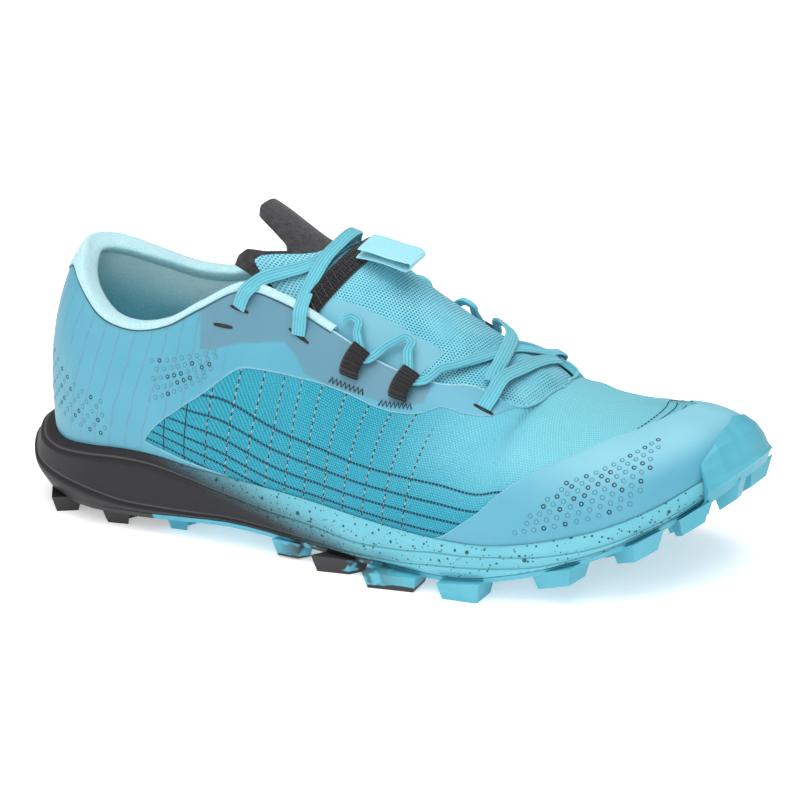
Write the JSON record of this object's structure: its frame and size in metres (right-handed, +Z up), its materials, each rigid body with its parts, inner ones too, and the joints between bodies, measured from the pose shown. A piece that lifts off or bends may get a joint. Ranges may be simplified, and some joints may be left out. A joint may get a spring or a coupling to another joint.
{
  "type": "trail running shoe",
  "caption": "Low trail running shoe with a hollow woven upper, a lace pocket over the instep, a foam midsole and a deeply lugged rubber sole.",
  "frame": {"origin": "on the ground, under the middle of the shoe's length and width", "axes": "+X to the toe, +Y to the inner side of the foot, +Z up"},
  "size_m": [0.2884, 0.1089, 0.1185],
  "materials": {
    "outsole": "matt moulded rubber",
    "midsole": "matt moulded foam, sprayed dark at the heel",
    "insole": "cloth-faced foam",
    "upper": "woven mesh",
    "toe_film": "smooth welded film",
    "quarter_film": "smooth welded film",
    "collar_binding": "brushed knit",
    "tongue": "dense knit",
    "tongue_mesh": "open mesh",
    "lace_pocket": "open mesh",
    "pocket_tape": "stitched tape",
    "pull_tab": "folded webbing",
    "lace_loop": "ribbed webbing",
    "lace": "flat woven lace"
  },
  "bodies": {
    "root": {"outsole": "outsole", "midsole": "midsole", "insole": "insole", "upper": "upper", "toe_film": "toe_film", "quarter_film": "quarter_film", "collar_binding": "collar_binding", "tongue": "tongue", "tongue_mesh": "tongue_mesh", "lace_pocket": "lace_pocket", "pocket_tape": "pocket_tape", "pull_tab": "pull_tab", "lace_loop_outer_rear": "lace_loop", "lace_loop_outer_front": "lace_loop", "lace_loop_inner_front": "lace_loop", "lace_loop_inner_rear": "lace_loop", "lace_top": "lace", "lace_lower": "lace"}
  },
  "joints": []
}
